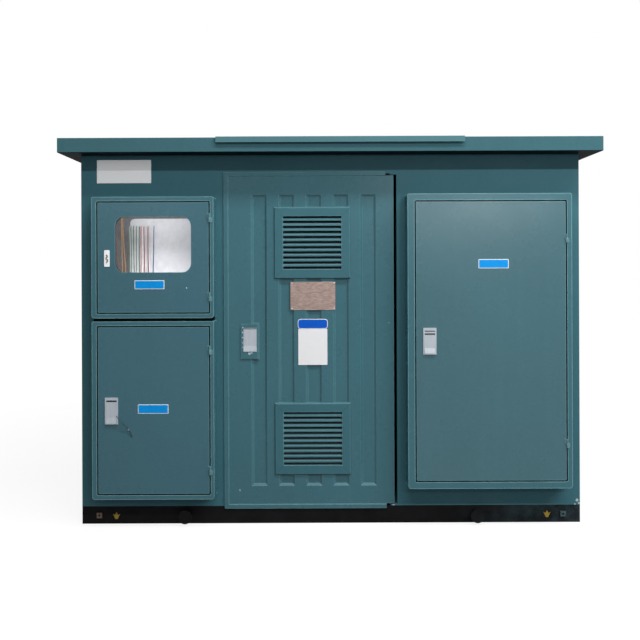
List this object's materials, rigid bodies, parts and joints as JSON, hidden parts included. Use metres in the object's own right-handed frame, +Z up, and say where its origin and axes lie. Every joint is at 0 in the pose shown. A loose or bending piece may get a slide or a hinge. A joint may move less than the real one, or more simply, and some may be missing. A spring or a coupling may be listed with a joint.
{
  "type": "compact transformer substation enclosure",
  "caption": "Steel walk-round substation cabinet on a channel base, with a fluted louvred door, framed side cabinets with hinged doors, a meter window and an overhanging roof.",
  "frame": {"origin": "on the ground at the middle of the base", "axes": "X along the front from left to right, front towards -Y, Z up"},
  "size_m": [3.314, 2.39, 2.448],
  "materials": {
    "enclosure_paint": "satin teal powder coat with fine orange peel",
    "door_paint": "satin teal powder coat with fine orange peel",
    "channel_black": "black bituminous paint on rolled channel, slightly rough",
    "earth_brass": "bare copper alloy, tarnished",
    "lock_steel": "brushed stainless steel",
    "window_glass": "clear flat glass",
    "gasket_rubber": "matt black rubber",
    "board_plastic": "matt white laminate board",
    "wire_plastic": "glossy insulated wire"
  },
  "bodies": {
    "enclosure": {"base_front_channel": "channel_black", "base_rear_channel": "channel_black", "base_left_channel": "channel_black", "base_right_channel": "channel_black", "base_cross_members": "channel_black", "floor_plate": "enclosure_paint", "lifting_trunnions": "channel_black", "earth_bosses": "earth_brass", "front_left_post": "enclosure_paint", "front_left_mullion": "enclosure_paint", "front_right_mullion": "enclosure_paint", "front_right_post": "enclosure_paint", "front_left_header": "enclosure_paint", "front_centre_header": "enclosure_paint", "front_right_header": "enclosure_paint", "front_left_rail": "enclosure_paint", "front_left_sill": "enclosure_paint", "front_right_sill": "enclosure_paint", "left_end_wall": "enclosure_paint", "right_end_wall": "enclosure_paint", "rear_wall": "enclosure_paint", "rear_panel": "enclosure_paint", "rear_upper_louvre": "enclosure_paint", "rear_lower_louvre": "enclosure_paint", "roof_canopy": "enclosure_paint", "roof_lid": "enclosure_paint", "meter_frame": "enclosure_paint", "communication_frame": "enclosure_paint", "automation_frame": "enclosure_paint", "transformer_door_jamb": "enclosure_paint", "meter_tray": "enclosure_paint", "meter_board": "board_plastic", "meter_wires": "wire_plastic"},
    "meter_door": {"meter_door_leaf": "door_paint", "meter_door_glass": "window_glass", "meter_door_gasket": "gasket_rubber", "meter_door_lock": "lock_steel"},
    "communication_door": {"communication_door_leaf": "door_paint", "communication_door_lock": "lock_steel"},
    "transformer_door": {"transformer_door_leaf": "door_paint", "transformer_upper_louvre": "door_paint", "transformer_lower_louvre": "door_paint", "transformer_door_lock": "lock_steel"},
    "automation_door": {"automation_door_leaf": "door_paint", "automation_door_lock": "lock_steel"}
  },
  "joints": [
    {"name": "meter_door_hinge", "type": "hinge", "parent": "enclosure", "child": "meter_door", "pos_m": [-0.738, -1.1645, 0], "axis": [0, 0, 1], "range_deg": [0, 110]},
    {"name": "communication_door_hinge", "type": "hinge", "parent": "enclosure", "child": "communication_door", "pos_m": [-0.738, -1.1645, 0], "axis": [0, 0, 1], "range_deg": [0, 110]},
    {"name": "transformer_door_hinge", "type": "hinge", "parent": "enclosure", "child": "transformer_door", "pos_m": [0.386, -1.044, 0], "axis": [0, 0, 1], "range_deg": [0, 105]},
    {"name": "automation_door_hinge", "type": "hinge", "parent": "enclosure", "child": "automation_door", "pos_m": [1.436, -1.1645, 0], "axis": [0, 0, 1], "range_deg": [0, 110]}
  ]
}
